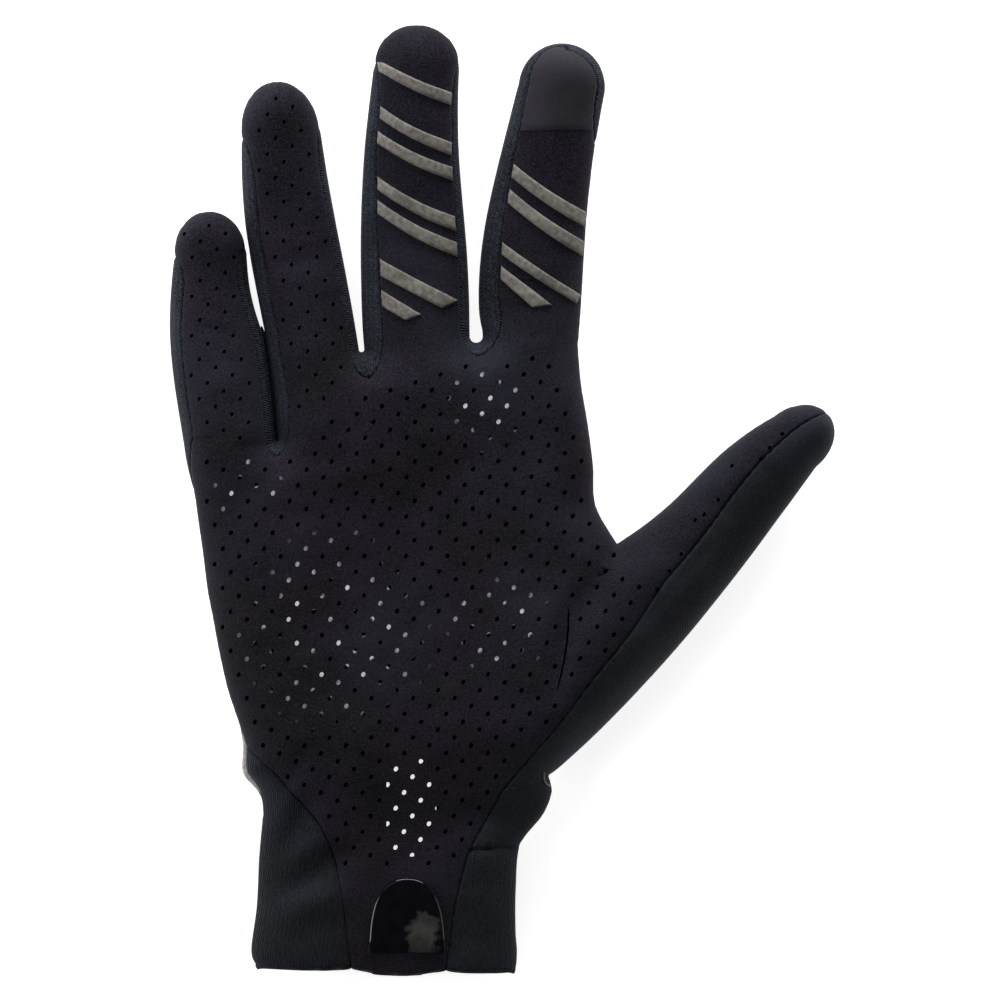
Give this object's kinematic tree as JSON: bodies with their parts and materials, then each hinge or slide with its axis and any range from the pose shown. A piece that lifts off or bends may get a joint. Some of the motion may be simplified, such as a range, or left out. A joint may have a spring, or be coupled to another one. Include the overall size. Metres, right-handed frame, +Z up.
{
  "type": "cycling glove",
  "caption": "Full-finger cycling glove for the right hand, lying on its back with the palm up: perforated palm, ribbed sides, knitted cuff with a pull tab.",
  "frame": {"origin": "middle of the footprint, at the surface that the back of the glove lies on", "axes": "+X to the thumb side, +Y from the hem to the fingertips, +Z up out of the palm"},
  "size_m": [0.1658, 0.2368, 0.0223],
  "materials": {
    "suede": "napped, matte, perforated",
    "back_mesh": "light grey knit, matte",
    "ribbed_knit": "fine rib, slight sheen",
    "smooth_fabric": "smooth, matte",
    "cuff_knit": "fine knit, matte",
    "touch_fabric": "smooth, slight sheen",
    "silicone": "semi-matte",
    "gloss_tab": "glossy"
  },
  "bodies": {
    "root": {"palm_panel": "suede", "back_panel": "back_mesh", "fourchette_pinky_ring": "ribbed_knit", "fourchette_ring_middle": "ribbed_knit", "fourchette_middle_index": "ribbed_knit", "pinky_side_strip": "ribbed_knit", "thumb_side_panel": "smooth_fabric", "cuff_left": "cuff_knit", "cuff_right": "cuff_knit", "touch_patch": "touch_fabric", "grip_stripe_thumb": "silicone", "pull_tab": "gloss_tab", "grip_stripe_middle_1": "silicone", "grip_stripe_middle_2": "silicone", "grip_stripe_middle_3": "silicone", "grip_stripe_middle_4": "silicone", "grip_stripe_middle_5": "silicone", "grip_stripe_middle_6": "silicone", "grip_stripe_middle_7": "silicone", "grip_stripe_index_1": "silicone", "grip_stripe_index_2": "silicone", "grip_stripe_index_3": "silicone", "grip_stripe_index_4": "silicone"}
  },
  "joints": []
}
